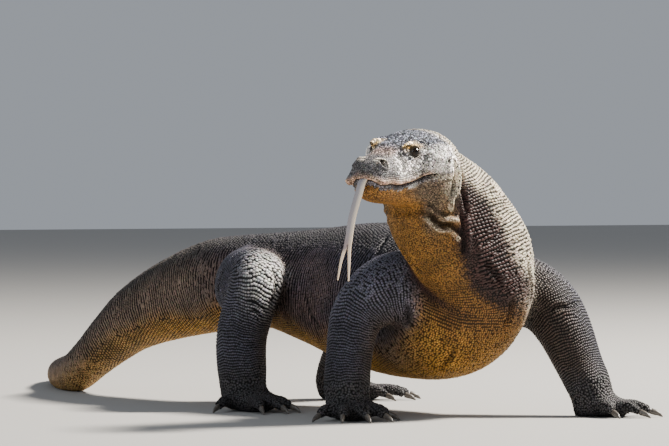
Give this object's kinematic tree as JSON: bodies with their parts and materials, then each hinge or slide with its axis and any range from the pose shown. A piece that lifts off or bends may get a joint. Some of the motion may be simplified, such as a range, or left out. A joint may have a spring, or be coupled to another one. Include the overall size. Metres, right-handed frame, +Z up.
{
  "type": "komodo dragon",
  "caption": "Life-size still model of a walking monitor lizard with its head raised and turned and its forked tongue out.",
  "frame": {"origin": "middle of the whole animal's footprint, on the floor it stands on", "axes": "-Y the way the trunk faces, +Y towards the tail, -X the animal's right side, +Z up"},
  "size_m": [0.795, 2.134, 0.5758],
  "materials": {
    "hide": "rough beaded scales, grey-brown",
    "face": "fine smooth scales, pale grey-brown",
    "claw": "dark polished horn",
    "eye": "wet dark brown",
    "tongue": "moist pale pink and grey"
  },
  "bodies": {
    "root": {"head": "face", "left_eye": "eye", "left_foot": "hide", "left_fore_claw_1": "claw", "left_fore_claw_2": "claw", "left_fore_claw_3": "claw", "left_fore_claw_4": "claw", "left_fore_claw_5": "claw", "left_forearm": "hide", "left_hand": "hide", "left_hind_claw_1": "claw", "left_hind_claw_2": "claw", "left_hind_claw_3": "claw", "left_hind_claw_4": "claw", "left_hind_claw_5": "claw", "left_shin": "hide", "left_thigh": "hide", "left_upper_arm": "hide", "lower_jaw": "face", "neck": "hide", "right_eye": "eye", "right_foot": "hide", "right_fore_claw_1": "claw", "right_fore_claw_2": "claw", "right_fore_claw_3": "claw", "right_fore_claw_4": "claw", "right_fore_claw_5": "claw", "right_forearm": "hide", "right_hand": "hide", "right_hind_claw_1": "claw", "right_hind_claw_2": "claw", "right_hind_claw_3": "claw", "right_hind_claw_4": "claw", "right_hind_claw_5": "claw", "right_shin": "hide", "right_thigh": "hide", "right_upper_arm": "hide", "tail_end": "hide", "tail_middle": "hide", "tail_root": "hide", "tongue": "tongue", "trunk": "hide"}
  },
  "joints": []
}
